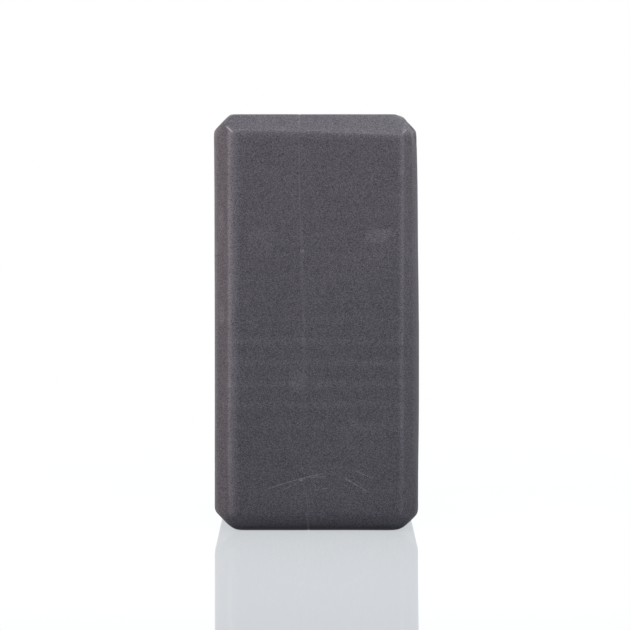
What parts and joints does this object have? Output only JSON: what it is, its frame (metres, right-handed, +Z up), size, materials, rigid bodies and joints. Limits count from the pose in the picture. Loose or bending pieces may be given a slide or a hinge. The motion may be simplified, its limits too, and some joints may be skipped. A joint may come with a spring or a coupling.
{
  "type": "yoga block",
  "caption": "Firm foam yoga block, bonded from foam slabs along a visible seam, with planed and softened bevels on every edge, for supporting hands, feet or hips in a pose.",
  "frame": {"origin": "on the base, under the middle of the block's box", "axes": "+Z up, +Y along the block's length away from the pictured end, +X across the slabs, from the narrow one to the wide one"},
  "size_m": [0.075, 0.229, 0.153],
  "materials": {
    "foam": "matte charcoal closed-cell foam with fine open grain on its cut faces",
    "bond": "dried contact glue, slightly paler than the foam"
  },
  "bodies": {
    "root": {"narrow_slab": "foam", "wide_slab": "foam", "glue_film": "bond"}
  },
  "joints": []
}
